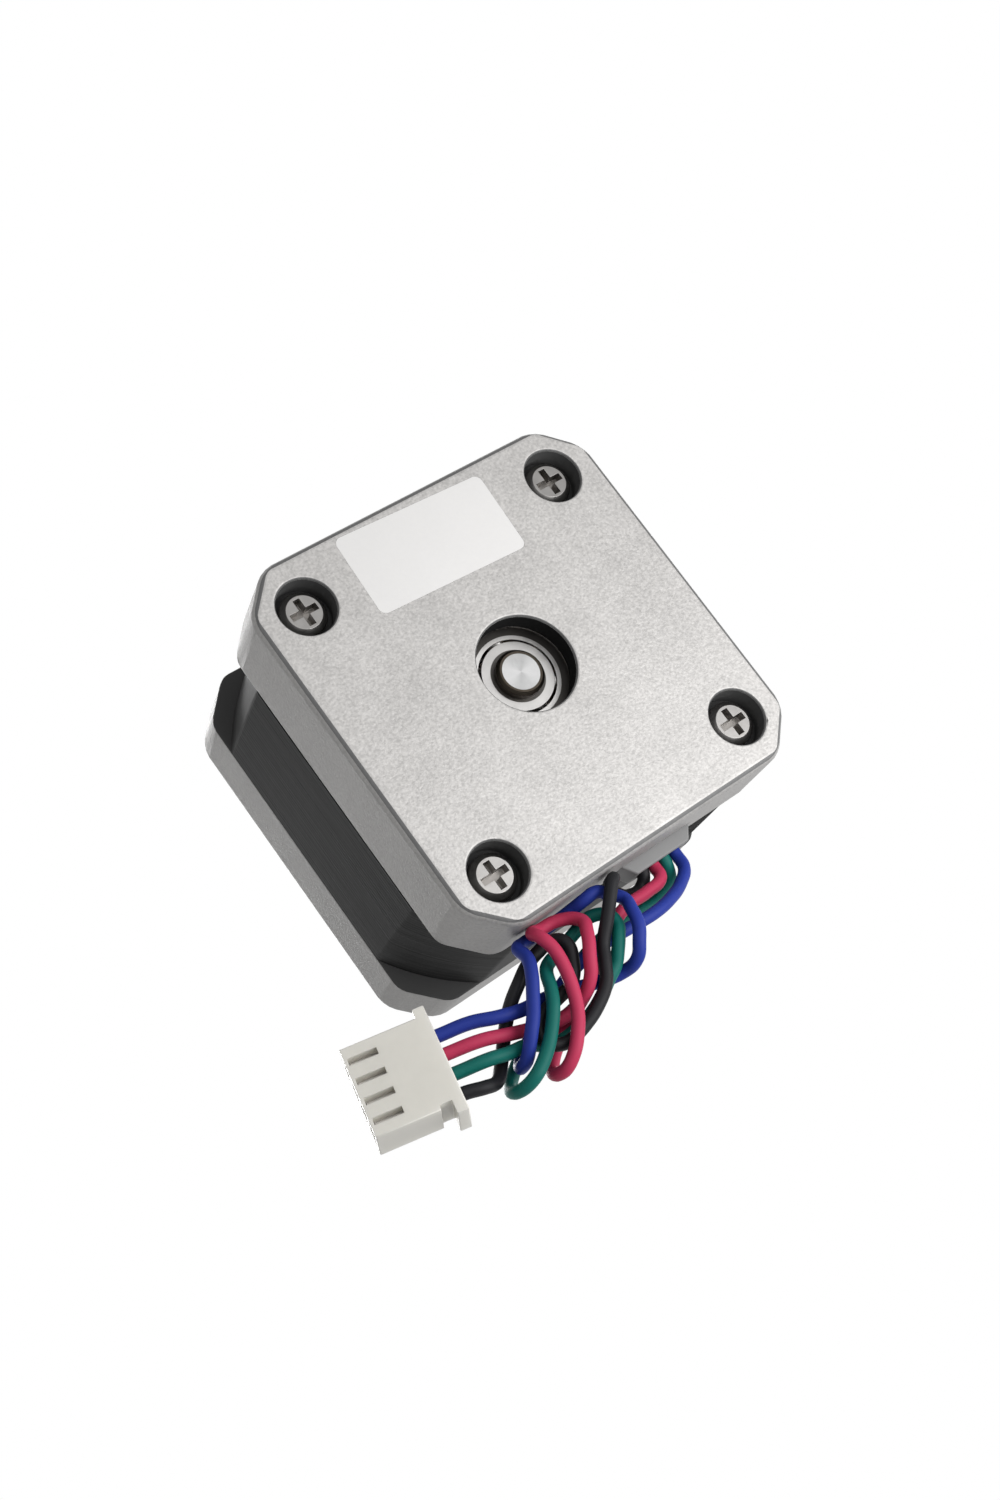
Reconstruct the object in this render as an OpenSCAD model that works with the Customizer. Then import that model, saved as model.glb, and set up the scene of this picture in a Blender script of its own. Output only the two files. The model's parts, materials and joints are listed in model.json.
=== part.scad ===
// Two-phase hybrid stepper motor with four lead wires and a crimp housing.
// Lengths in mm. Origin at the centre of the front mounting face, +Z out along
// the output shaft. The rear face lies at -Z and the leads leave on the -Y side.

/* [Body] */
// side of the square body
body_w = 42; // [35:0.5:57]
// rear face to mounting face
body_len = 31; // [24:0.5:48]
// front flange, without its pilot boss
flange_len = 6.8; // [5:0.1:10]
// rear cover
rear_len = 9; // [6:0.1:12]
// turned off each corner of both end covers, along the diagonal
cover_corner_cut = 2.7; // [1:0.1:4]
// ground off each corner of the lamination stack, along the diagonal
stack_corner_cut = 4.9; // [1:0.1:5.5]
// bevel on the outer edges of both covers
edge_bevel = 0.5; // [0.2:0.1:1]
// from a screw axis to the sides of the body
hole_edge = 5.5; // [4.5:0.1:6]

/* [Front flange] */
// pilot boss diameter
pilot_d = 22; // [16:1:38]
// pilot boss height
pilot_len = 2; // [1:0.1:3]
// bevel on the pilot boss
pilot_bevel = 0.3; // [0.1:0.1:0.5]
// hole in the pilot boss around the shaft
pilot_hole_d = 10; // [8:0.1:12]
// thread hole that takes a mounting screw
thread_d = 3; // [2:0.5:4]
// gap between the thread hole and the tip of a cover screw
tip_gap = 0.8; // [0.5:0.1:2]
// bottom of the front bearing seat below the mounting face
front_seat = 0.6; // [0.2:0.1:2]
// thickness of the front wall over the windings
front_wall = 2.6; // [2:0.1:4]

/* [Rear cover] */
// hole in the rear face
rear_hole_d = 10.2; // [8:0.1:12]
// rear lip that stands over the bearing
rear_lip = 2.6; // [1:0.1:4]
// thickness of the rear wall over the windings
rear_wall = 3; // [2:0.1:4]
// counterbore for a screw head
head_hole_d = 6; // [5.5:0.1:7]
// depth of the counterbore
head_hole_len = 3; // [2:0.1:4]
// clearance hole for a screw
screw_hole_d = 3.4; // [3.2:0.1:3.6]
// hub around a bearing seat
hub_d = 17; // [15:0.5:20]
// label recess depth, the thickness of the label
label_t = 0.1; // [0.05:0.05:0.3]
// gap between each end of the label and the counterbores
label_gap = 3.7; // [0.5:0.1:6]
// label width
label_w = 9; // [5:0.1:15]
// label corner radius
label_r = 0.8; // [0.3:0.1:2]
// label turn on the rear face
label_turn = 2.7; // [-5:0.1:5]

/* [Screws] */
// screw head diameter
head_d = 4.8; // [4.5:0.1:5.6]
// flat part of the head
head_len = 1.2; // [0.8:0.1:2]
// rounded crown of the head
crown_len = 0.6; // [0.2:0.1:1]
// shank diameter
shank_d = 2.9; // [2:0.1:3]
// cross recess arm length
cross_len = 3; // [2:0.1:3.4]
// cross recess arm width
cross_w = 0.75; // [0.5:0.05:1]
// cross recess depth
cross_deep = 1.2; // [0.6:0.1:1.6]
// core diameter of the screw's thread
bite_d = 2.6; // [2:0.1:2.6]
// thread length that the front flange takes up
bite_len = 1.5; // [1:0.1:3]

/* [Stator] */
// number of poles
pole_n = 8; // [4:4:12]
// pole length from the yoke to the tips of the teeth
pole_len = 6.85; // [5:0.05:9]
// share of the bore's circle that the pole necks take up
pole_share = 0.571; // [0.4:0.001:0.65]
// thickness of a pole shoe with its teeth
shoe_t = 1.45; // [1:0.05:2.5]
// angle that a pole shoe spans
shoe_span = 39; // [30:1:42]
// teeth on each pole shoe
shoe_teeth = 5; // [3:1:7]
// depth of the slots between teeth
tooth_deep = 0.6; // [0.3:0.1:1]
// yoke thickness at the middle of a side
yoke_t = 3; // [2:0.1:4]
// half of the gap between two windings at their inner ends
coil_gap = 0.69; // [0.2:0.01:1.2]
// winding height over the end of the stack
coil_end = 2.2; // [1:0.1:3]
// insulator plate thickness
plate_t = 0.6; // [0.3:0.1:1]
// insulator wall thickness
wall_t = 0.7; // [0.4:0.1:1]

/* [Rotor] */
// shaft diameter
shaft_d = 5; // [4:0.5:8]
// shaft beyond the mounting face
shaft_out = 24; // [15:0.5:40]
// depth of the shaft end below the rear face
shaft_sunk = 2; // [0.5:0.1:3]
// bevel on the shaft ends
shaft_bevel = 0.3; // [0.1:0.1:0.5]
// depth of the flat on the shaft
flat_deep = 0.5; // [0:0.1:1]
// length of the flat
flat_len = 10; // [0:0.5:10.5]
// length of the relief groove behind the output end
relief_len = 1; // [0.5:0.1:2]
// depth of the relief groove
relief_deep = 0.2; // [0.2:0.05:0.5]
// start of the plain output end over the pilot boss
output_gap = 0.2; // [0.1:0.1:2]
// air gap between the rotor and the stator teeth
air_gap = 0.3; // [0.1:0.05:0.5]
// rotor teeth
rotor_teeth = 50; // [50:50:100]
// length of one toothed cup
cup_len = 6; // [4:0.1:10]
// magnet thickness
magnet_t = 2.4; // [1:0.1:4]
// step from the rotor teeth down to the magnet
magnet_step = 1.35; // [0.8:0.05:2.5]

/* [Bearings] */
// bearing outside diameter
bearing_d = 13; // [11:1:22]
// bearing width
bearing_w = 4; // [3:0.5:7]
// ball diameter
ball_d = 2.2; // [1.5:0.1:3.5]
// balls in a bearing
ball_n = 7; // [6:1:9]
// thickness of the inner ring
inner_ring_t = 1.25; // [0.8:0.05:2]
// thickness of the outer ring
outer_ring_t = 1.05; // [0.8:0.05:2]
// shield thickness
shield_t = 0.25; // [0.15:0.05:0.4]
// depth of a shield below the ring's face
shield_sunk = 0.15; // [0:0.05:0.5]
// cage band thickness
cage_t = 0.7; // [0.4:0.1:1]
// cage band width
cage_w = 2.8; // [2.4:0.1:3.2]
// height of the wave washer
washer_h = 0.4; // [0.2:0.1:0.8]
// thickness of the wave washer
washer_t = 0.2; // [0.1:0.05:0.4]

/* [Leads] */
// lead diameter over the insulation
wire_d = 1.3; // [0.8:0.1:2]
// outlet width over its cheeks
outlet_w = 9.1; // [8:0.1:12]
// outlet height along the motor
outlet_h = 3; // [2.4:0.1:4]
// outlet beyond the side of the cover
outlet_out = 1.4; // [0.5:0.1:3]
// width of the outlet's mouth
mouth_w = 5.9; // [5.6:0.1:8]
// height of the outlet's mouth
mouth_h = 1.8; // [1.5:0.1:2.5]

/* [Connector] */
// contact pitch
contact_pitch = 2; // [1.25:0.25:2.54]
// number of contacts
contact_n = 4; // [2:1:8]
// housing length
housing_len = 8.4; // [6:0.1:12]
// housing thickness
housing_t = 4.5; // [3:0.1:6]
// housing width
housing_w = 8.9; // [6:0.1:20]
// width of the rim at the wire end
rim_w = 10.6; // [8:0.1:22]
// length of the rim at the wire end
rim_len = 1.1; // [0.8:0.1:2]
// turn of the housing on the floor
housing_turn = 13; // [-90:1:90]
// rise of the mating end from the floor
housing_tilt = 14; // [0:1:30]
// roll of the housing about its length
housing_roll = 14; // [0:1:30]

/* [Hidden] */

// facets of the large circles and of the small ones
round_n = 96;
small_n = 48;
// overrun of every cut past the face it opens
over = 0.2;
// gap between pieces of one body that are pushed together
seat_gap = 0.02;
// gap of a ball in its groove
ball_gap = 0.02;
// gap of a ball in the cage
cage_gap = 0.05;
// gap between a shield and the turning inner ring
shield_gap = 0.32;
// slots cut into the pole shoes are this share of the tooth pitch
slot_share = 0.5;
tooth_pitch = 360 / rotor_teeth;

rear_z = -body_len;
stack_rear_z = rear_z + rear_len;
stack_front_z = -flange_len;
stack_len = stack_front_z - stack_rear_z;
diagonal = body_w * sqrt(2);
cover_corner_d = diagonal - 2 * cover_corner_cut;
stack_corner_d = diagonal - 2 * stack_corner_cut;
half_pitch = body_w / 2 - hole_edge;
side_y = -body_w / 2;
floor_z = rear_z;
thread_low = stack_front_z + bite_len + tip_gap;

yoke_d = body_w - 2 * yoke_t;
cavity_d = yoke_d;
stator_bore_d = yoke_d - 2 * pole_len;
pole_w = pole_share * PI * stator_bore_d / pole_n;
shoe_d = stator_bore_d + 2 * shoe_t;
rotor_d = stator_bore_d - 2 * air_gap;
magnet_d = rotor_d - 2 * magnet_step;
inner_ring_d = shaft_d + 2 * inner_ring_t;
outer_ring_d = bearing_d - 2 * outer_ring_t;

front_bearing_z = -front_seat - bearing_w / 2;
rear_bearing_z = rear_z + rear_lip + washer_h + bearing_w / 2;
ball_circle_r = (inner_ring_d + outer_ring_d) / 4;
rotor_mid_z = (stack_front_z + stack_rear_z) / 2;
rotor_half = cup_len + magnet_t / 2;
rotor_front_z = rotor_mid_z + rotor_half;
rotor_rear_z = rotor_mid_z - rotor_half;

// label centre on the rear face, and its length between the counterbores
label_x = 0.6;
label_edge = 5.8;
label_y = body_w / 2 - label_edge;
label_len = 2 * half_pitch - head_hole_d - 2 * label_gap;
// outlet centre along the side, its top level with the cover's joint
outlet_x = -2.7;
outlet_z = stack_rear_z - outlet_h / 2;
outlet_back = 3;
outlet_seat_gap = 0.05;
mouth_back = 1;
cheek_slope = 0.5;

// connector centre on the floor, away from the middle and from the side
connector_x = 33.6;
connector_out = 4.7;
connector_y = side_y - connector_out;
// lifts the turned housing until its lowest corner stands on the floor
connector_z = floor_z + housing_len / 2 * sin(housing_tilt)
    + rim_w / 2 * cos(housing_tilt) * sin(housing_roll);
cavity_w = 1.6;
cavity_h = 1.9;
window_w = 0.7;
window_len = 2.8;
window_edge = 0.3;
notch_len = 1.2;
notch_deep = 0.5;
terminal_w = 1.2;
terminal_h = 1.5;
terminal_t = 0.2;
terminal_len = 5.4;
terminal_front = 0.5;
barrel_len = 1.6;
contact_z = 2.2;

// side of the body that the routes below are drawn against
drawn_side_y = -21;
// where each lead runs: across, along and over the floor, from the outlet's back
// wall to its contact in the connector
red_route = [
    [-2, -20, 7.5], [-2, -22.6, 7.5], [-1.5, -23.8, 6.9], [1.2, -24.3, 6.1],
    [4.4, -24.4, 5.6], [7.2, -25.5, 5.8], [11.5, -28.2, 5.8], [15, -29.8, 5.8],
    [18.2, -31.2, 5.5], [20.3, -32.5, 4.7], [21.3, -33.4, 3.4], [20.9, -33.7, 2],
    [19.7, -33, 1], [18.4, -31.8, 0.7], [17.1, -30.2, 0.7], [16.2, -28.4, 0.7],
    [15.5, -26.1, 0.7], [15.3, -24.2, 0.7], [15.5, -22.7, 1.1], [15.4, -21.8, 2.4],
    [14, -21.8, 3.6], [12.1, -22, 3.5], [10.6, -23.3, 2.2], [11.4, -24.7, 1.1],
    [12.7, -26.5, 0.7], [13.9, -28.4, 1.4], [15.6, -29.5, 3.1], [17.9, -29.6, 4],
    [20.2, -28.9, 3.8], [22.7, -28.2, 2.9], [25.4, -27.2, 2.7], [28.5, -26.4, 3.4],
    [31.8, -25.7, 4.3]];
blue_route = [
    [-4.8, -20, 7.5], [-4.8, -22.8, 7.5], [-4.4, -24.2, 7], [-2.6, -25.4, 6.2],
    [0.2, -26.2, 4.9], [2.9, -26.5, 4.1], [5.4, -26.4, 3.9], [8.2, -26.2, 4],
    [11.2, -26.2, 4.7], [14.4, -27, 5.7], [17.4, -28.2, 6], [20.2, -29.4, 5.7],
    [22.2, -30.3, 5], [23.5, -31.2, 3.7], [23.3, -31, 2.1], [22, -29.4, 0.9],
    [20.8, -28.1, 0.7], [19.6, -26.5, 0.7], [18.5, -25, 0.9], [17.5, -23.5, 1.8],
    [17.1, -22.2, 3.2], [15.6, -21.9, 4.7], [13.5, -21.9, 5.2], [11.5, -21.9, 4.8],
    [10, -21.9, 3.6], [9, -21.9, 2.3], [7.8, -21.9, 2], [6.5, -22.6, 2.7],
    [5.6, -23.8, 2.3], [6.1, -25.2, 1.3], [6.7, -26.7, 0.8], [7.6, -28, 0.9],
    [8.4, -29.2, 1.8], [9.6, -29.4, 3.7], [12.2, -28.7, 4.4], [15.4, -27.7, 4.3],
    [18.4, -27.2, 3.4], [20.6, -27, 2.7], [23, -26.3, 2.5], [25.2, -25.3, 3.1],
    [28, -24.6, 3.9], [31.3, -23.8, 4.8]];
green_route = [
    [-3.4, -20, 7.5], [-3.4, -22.8, 7.6], [-3.2, -24.3, 8.5], [-1.2, -25.2, 9],
    [2.6, -25.2, 8.3], [7, -25.4, 7.4], [10.5, -26, 7.2], [14, -27.2, 7.4],
    [17.4, -28.4, 7.6], [20.6, -29.8, 7.3], [23.2, -31, 6.3], [24.9, -32, 4.9],
    [25.6, -32.6, 3.3], [25.1, -32.9, 1.7], [23.7, -32.5, 0.7], [21.9, -31.5, 0.7],
    [20.3, -30.2, 0.7], [18.8, -28.6, 0.7], [17.6, -27, 1.3], [16.6, -25.5, 2.2],
    [15.2, -24.8, 3.5], [13.2, -24.4, 4.3], [11, -23.8, 4.2], [9.1, -23.4, 3.6],
    [7.8, -24.2, 2.8], [7.7, -25.5, 2.3], [8.5, -26.5, 2], [9.4, -27.6, 2.2],
    [10.2, -28.5, 2.6], [11.5, -29.2, 2.8], [12.7, -30, 3.5], [14.2, -30.7, 4.1],
    [16.4, -31.2, 4.2], [19.5, -31.1, 3.9], [22, -29.9, 3], [24.2, -29.5, 2.6],
    [26, -29, 2.3], [29, -28.3, 3], [32.4, -27.5, 3.8]];
black_route = [
    [-0.6, -20, 7.5], [-0.6, -22.4, 7.5], [0.2, -23.4, 8], [1.9, -23.5, 7.8],
    [3.4, -22.9, 6.8], [4.6, -22.1, 5.3], [5.1, -21.8, 3.5], [5.4, -21.8, 1.9],
    [6.2, -22, 0.8], [7.3, -23, 0.7], [8.8, -24.6, 1.1], [10.4, -26.3, 1.7],
    [11.5, -27.9, 1.6], [12.6, -29.4, 1.6], [14.2, -30.5, 1.8], [16.5, -31.4, 2],
    [19, -31.8, 2.1], [20.6, -30.7, 2.1], [20.3, -29.1, 2.2], [18.8, -28.3, 2.3],
    [17, -28, 2.3], [15.2, -27.6, 2.2], [13.8, -26, 2.1], [13.2, -24.2, 2.3],
    [13.9, -23.3, 3.2], [15.4, -23.4, 3.7], [17, -23.8, 3.5], [19, -24.8, 3.2],
    [20.8, -26, 3.7], [22.2, -27.4, 4.4], [23.6, -28.9, 4.6], [25, -30.2, 4.2],
    [26.4, -31, 3.2], [27.9, -30.8, 2.4], [29.6, -30.2, 2.5], [32.9, -29.4, 3.3]];
wire_sides = 8;

// outline of a cover or of the stack, a square with turned corners
module body_outline(corner_d) {
    intersection() {
        square(body_w, center = true);
        circle(d = corner_d, $fn = round_n);
    }
}

// slab of the body between two heights
module body_slab(corner_d, low, high) {
    translate([0, 0, low])
        linear_extrude(height = high - low)
            body_outline(corner_d);
}

// bevelled end of a cover, its small face at z and its large face at z + lift
module bevel_slab(z, turn) {
    cut = 2 * edge_bevel;
    translate([0, 0, z])
        rotate([turn, 0, 0])
            intersection() {
                rotate([0, 0, 45])
                    cylinder(h = edge_bevel, d1 = diagonal - cut * sqrt(2), d2 = diagonal, $fn = 4);
                cylinder(h = edge_bevel, d1 = cover_corner_d - cut, d2 = cover_corner_d,
                    $fn = round_n);
            }
}

// ring between two heights
module ring(low, high, outer_d, inner_d, facets) {
    translate([0, 0, low])
        difference() {
            cylinder(h = high - low, d = outer_d, $fn = facets);
            translate([0, 0, -over])
                cylinder(h = high - low + 2 * over, d = inner_d, $fn = facets);
        }
}

// round cut between two heights
module bore(low, high, bore_d, facets) {
    translate([0, 0, low])
        cylinder(h = high - low, d = bore_d, $fn = facets);
}

// one child at each screw axis
module at_screws() {
    for (x = [-half_pitch, half_pitch])
        for (y = [-half_pitch, half_pitch])
            translate([x, y, 0])
                children();
}

module front_flange() {
    cavity_top = -front_wall;
    color("silver")
        difference() {
            union() {
                difference() {
                    union() {
                        body_slab(cover_corner_d, stack_front_z, -edge_bevel);
                        bevel_slab(0, 180);
                    }
                    bore(stack_front_z - over, cavity_top, cavity_d, round_n);
                }
                bore(front_bearing_z - bearing_w / 2, cavity_top + over, hub_d, round_n);
                bore(-over, pilot_len - pilot_bevel, pilot_d, round_n);
                translate([0, 0, pilot_len - pilot_bevel])
                    cylinder(h = pilot_bevel, d1 = pilot_d, d2 = pilot_d - 2 * pilot_bevel,
                        $fn = round_n);
            }
            bore(stack_front_z - over, -front_seat, bearing_d + 2 * seat_gap, round_n);
            bore(-front_seat - over, pilot_len + over, pilot_hole_d, small_n);
            at_screws() {
                bore(stack_front_z - over, over, bite_d, small_n);
                bore(thread_low, over, thread_d, small_n);
            }
        }
}

// rounded rectangle of the label, grown by a gap
module label_outline(gap) {
    half_l = label_len / 2 - label_r;
    half_w = label_w / 2 - label_r;
    translate([label_x, label_y])
        rotate(label_turn)
            union() {
                square([label_len + 2 * gap, 2 * half_w], center = true);
                square([2 * half_l, label_w + 2 * gap], center = true);
                for (x = [-half_l, half_l])
                    for (y = [-half_w, half_w])
                        translate([x, y])
                            circle(r = label_r + gap, $fn = small_n);
            }
}

module rear_cover() {
    cavity_floor = rear_z + rear_wall;
    seat_floor = rear_z + rear_lip;
    color("silver")
        difference() {
            union() {
                difference() {
                    union() {
                        body_slab(cover_corner_d, rear_z + edge_bevel, stack_rear_z);
                        bevel_slab(rear_z, 0);
                    }
                    bore(cavity_floor, stack_rear_z + over, cavity_d, round_n);
                }
                bore(cavity_floor - over, rear_bearing_z + bearing_w / 2, hub_d, round_n);
            }
            bore(seat_floor, stack_rear_z, bearing_d + 2 * seat_gap, round_n);
            bore(rear_z - over, seat_floor + over, rear_hole_d, small_n);
            at_screws() {
                bore(rear_z - over, stack_rear_z + over, screw_hole_d, small_n);
                bore(rear_z - over, rear_z + head_hole_len, head_hole_d, small_n);
            }
            translate([0, 0, rear_z - over])
                linear_extrude(height = label_t + over)
                    label_outline(seat_gap);
            outlet_pocket();
        }
}

// space in the side wall that the outlet fills
module outlet_pocket() {
    gap = outlet_seat_gap;
    deep = outlet_back + over;
    translate([outlet_x - outlet_w / 2 - gap, side_y - over,
            outlet_z - outlet_h / 2 - gap])
        cube([outlet_w + 2 * gap, deep + over, outlet_h + 2 * gap]);
}

// outline of the outlet from above, its cheeks sloping outwards to the mouth
module outlet_outline() {
    half = outlet_w / 2;
    lip = mouth_w / 2 + cheek_slope;
    back = side_y + outlet_back;
    polygon([[-half, back], [half, back], [half, side_y], [lip, side_y - outlet_out],
        [-lip, side_y - outlet_out], [-half, side_y]]);
}

module lead_outlet() {
    color("dimgray")
        difference() {
            translate([outlet_x, 0, outlet_z - outlet_h / 2])
                linear_extrude(height = outlet_h)
                    outlet_outline();
            translate([outlet_x - mouth_w / 2, side_y - outlet_out - over,
                    outlet_z - mouth_h / 2])
                cube([mouth_w, outlet_out + mouth_back + over, mouth_h]);
        }
}

module label() {
    color("white")
        translate([0, 0, rear_z])
            linear_extrude(height = label_t)
                label_outline(0);
}

// one screw, its head seated in the counterbore and its tip in the front flange
module cover_screw() {
    seat_z = rear_z + head_hole_len;
    head_z = seat_z - head_len;
    difference() {
        union() {
            bore(seat_z - over, stack_front_z - seat_gap, shank_d, small_n);
            bore(stack_front_z - over, stack_front_z + bite_len, bite_d - 2 * seat_gap, small_n);
            bore(head_z, seat_z, head_d, small_n);
            translate([0, 0, head_z - crown_len])
                cylinder(h = crown_len, d1 = head_d - 2 * crown_len, d2 = head_d,
                    $fn = small_n);
        }
        for (turn = [0, 90])
            rotate([0, 0, turn])
                translate([-cross_len / 2, -cross_w / 2, head_z - crown_len - over])
                    cube([cross_len, cross_w, cross_deep + over]);
    }
}

module cover_screws() {
    color("gainsboro")
        at_screws()
            cover_screw();
}

// teeth side by side on one pole shoe, as slots cut between them
module shoe_slots() {
    slot_w = stator_bore_d / 2 * sin(tooth_pitch * slot_share);
    first = -(shoe_teeth - 1) / 2;
    for (i = [0 : shoe_teeth])
        rotate((first + i - 1 / 2) * tooth_pitch)
            translate([stator_bore_d / 2 - over, -slot_w / 2])
                square([tooth_deep + over, slot_w]);
}

// one pole, from the yoke to the teeth
module pole_outline() {
    reach = shoe_d / 2 / cos(shoe_span / 2);
    difference() {
        union() {
            translate([stator_bore_d / 2, -pole_w / 2])
                square([yoke_d / 2 - stator_bore_d / 2 + over, pole_w]);
            intersection() {
                circle(d = shoe_d, $fn = round_n);
                polygon([[0, 0], [reach * cos(shoe_span / 2), reach * sin(shoe_span / 2)],
                    [reach * cos(shoe_span / 2), -reach * sin(shoe_span / 2)]]);
            }
        }
        shoe_slots();
    }
}

module stator_core() {
    color("dimgray")
        translate([0, 0, stack_rear_z])
            linear_extrude(height = stack_len)
                difference() {
                    body_outline(stack_corner_d);
                    difference() {
                        circle(d = yoke_d, $fn = round_n);
                        for (i = [0 : pole_n - 1])
                            rotate(i * 360 / pole_n)
                                pole_outline();
                    }
                    circle(d = stator_bore_d, $fn = round_n);
                    at_screws()
                        circle(d = screw_hole_d, $fn = small_n);
                }
}

// insulator on one end face of the stack, built upwards from z = 0
module insulator() {
    tall = plate_t + coil_end + wall_t;
    ring_in = yoke_d - 2 * wall_t;
    inner_low = shoe_d / 2 - wall_t;
    union() {
        ring(0, tall, yoke_d - 2 * seat_gap, ring_in, round_n);
        for (i = [0 : pole_n - 1])
            rotate([0, 0, i * 360 / pole_n]) {
                translate([inner_low, -pole_w / 2, 0])
                    cube([ring_in / 2 + wall_t / 2 - inner_low, pole_w, plate_t]);
                translate([inner_low, -pole_w / 2, 0])
                    cube([wall_t, pole_w, tall]);
            }
    }
}

module front_insulator() {
    color("ivory")
        translate([0, 0, stack_front_z])
            insulator();
}

module rear_insulator() {
    color("ivory")
        translate([0, 0, stack_rear_z])
            rotate([180, 0, 0])
                insulator();
}

// winding around the pole that points along +X
module coil() {
    neck = pole_w + 4 * seat_gap;
    low_r = shoe_d / 2 + seat_gap;
    inner_h = stack_len + 2 * plate_t + 2 * seat_gap;
    outer_h = inner_h + 2 * coil_end;
    // both sides reach the gap half way to the next winding
    outer_w = 2 * (low_r * tan(180 / pole_n) - coil_gap);
    // the winding's far corners stay inside the insulator's round wall
    wall_r = yoke_d / 2 - wall_t - seat_gap;
    high_r = sqrt(pow(wall_r, 2) - pow(outer_w / 2, 2));
    translate([low_r, 0, rotor_mid_z])
        difference() {
            translate([0, -outer_w / 2, -outer_h / 2])
                cube([high_r - low_r, outer_w, outer_h]);
            translate([-over, -neck / 2, -inner_h / 2])
                cube([high_r - low_r + 2 * over, neck, inner_h]);
        }
}

// every second winding, starting at an angle
module phase_coils(start) {
    for (i = [0 : pole_n / 2 - 1])
        rotate([0, 0, start + i * 720 / pole_n])
            coil();
}

module phase_a_coils() {
    color("peru")
        phase_coils(0);
}

module phase_b_coils() {
    color("chocolate")
        phase_coils(360 / pole_n);
}

module shaft() {
    low = rear_z + shaft_sunk;
    high = shaft_out;
    output_low = pilot_len + output_gap;
    color("lightgray")
        difference() {
            union() {
                bore(low + shaft_bevel, high - shaft_bevel, shaft_d, small_n);
                translate([0, 0, low])
                    cylinder(h = shaft_bevel, d1 = shaft_d - 2 * shaft_bevel, d2 = shaft_d,
                        $fn = small_n);
                translate([0, 0, high - shaft_bevel])
                    cylinder(h = shaft_bevel, d1 = shaft_d, d2 = shaft_d - 2 * shaft_bevel,
                        $fn = small_n);
            }
            ring(output_low - relief_len, output_low, shaft_d + 2 * over,
                shaft_d - 2 * relief_deep, small_n);
            translate([shaft_d / 2 - flat_deep, -shaft_d / 2, high - flat_len])
                cube([flat_deep + over, shaft_d, flat_len + over]);
        }
}

// toothed outline of a rotor cup
module cup_outline() {
    root_r = rotor_d / 2 - tooth_deep;
    slot_w = rotor_d / 2 * sin(tooth_pitch * slot_share);
    difference() {
        circle(d = rotor_d, $fn = round_n);
        for (i = [0 : rotor_teeth - 1])
            rotate((i + slot_share) * tooth_pitch)
                translate([root_r, -slot_w / 2])
                    square([tooth_deep + over, slot_w]);
        circle(d = shaft_d, $fn = small_n);
    }
}

module rotor_cup(low, turn) {
    color("darkgray")
        translate([0, 0, low])
            rotate([0, 0, turn])
                linear_extrude(height = cup_len)
                    cup_outline();
}

module front_rotor_cup() {
    rotor_cup(rotor_front_z - cup_len, 0);
}

module rear_rotor_cup() {
    rotor_cup(rotor_rear_z, tooth_pitch / 2);
}

module rotor_magnet() {
    color("slategray")
        ring(rotor_rear_z + cup_len, rotor_front_z - cup_len, magnet_d, shaft_d, small_n);
}

module front_spacer() {
    color("lightgray")
        ring(rotor_front_z, front_bearing_z - bearing_w / 2, inner_ring_d, shaft_d, small_n);
}

module rear_spacer() {
    color("lightgray")
        ring(rear_bearing_z + bearing_w / 2, rotor_rear_z, inner_ring_d, shaft_d, small_n);
}

// groove that the balls roll in
module ball_groove() {
    rotate_extrude($fn = small_n)
        translate([ball_circle_r, 0])
            circle(d = ball_d + 2 * ball_gap, $fn = small_n);
}

module outer_ring(z) {
    color("silver")
        translate([0, 0, z])
            difference() {
                ring(-bearing_w / 2, bearing_w / 2, bearing_d, outer_ring_d, small_n);
                ball_groove();
            }
}

module inner_ring(z) {
    color("silver")
        translate([0, 0, z])
            difference() {
                ring(-bearing_w / 2, bearing_w / 2, inner_ring_d, shaft_d, small_n);
                ball_groove();
            }
}

module shields(z) {
    high = bearing_w / 2 - shield_sunk;
    color("gray")
        translate([0, 0, z])
            for (side = [0, 180])
                rotate([side, 0, 0])
                    ring(high - shield_t, high, outer_ring_d, inner_ring_d + 2 * shield_gap,
                        small_n);
}

module balls(z) {
    color("gainsboro")
        for (i = [0 : ball_n - 1])
            rotate([0, 0, i * 360 / ball_n])
                translate([ball_circle_r, 0, z])
                    sphere(d = ball_d, $fn = small_n);
}

module cage(z) {
    mid = 2 * ball_circle_r;
    color("goldenrod")
        translate([0, 0, z])
            difference() {
                ring(-cage_w / 2, cage_w / 2, mid + cage_t, mid - cage_t, small_n);
                for (i = [0 : ball_n - 1])
                    rotate([0, 0, i * 360 / ball_n])
                        rotate([0, 90, 0])
                            cylinder(h = mid, d = ball_d + 2 * cage_gap, $fn = small_n);
            }
}

module front_outer_ring() {
    outer_ring(front_bearing_z);
}

module front_inner_ring() {
    inner_ring(front_bearing_z);
}

module front_shields() {
    shields(front_bearing_z);
}

module front_balls() {
    balls(front_bearing_z);
}

module front_cage() {
    cage(front_bearing_z);
}

module rear_outer_ring() {
    outer_ring(rear_bearing_z);
}

module rear_inner_ring() {
    inner_ring(rear_bearing_z);
}

module rear_shields() {
    shields(rear_bearing_z);
}

module rear_balls() {
    balls(rear_bearing_z);
}

module rear_cage() {
    cage(rear_bearing_z);
}

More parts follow.
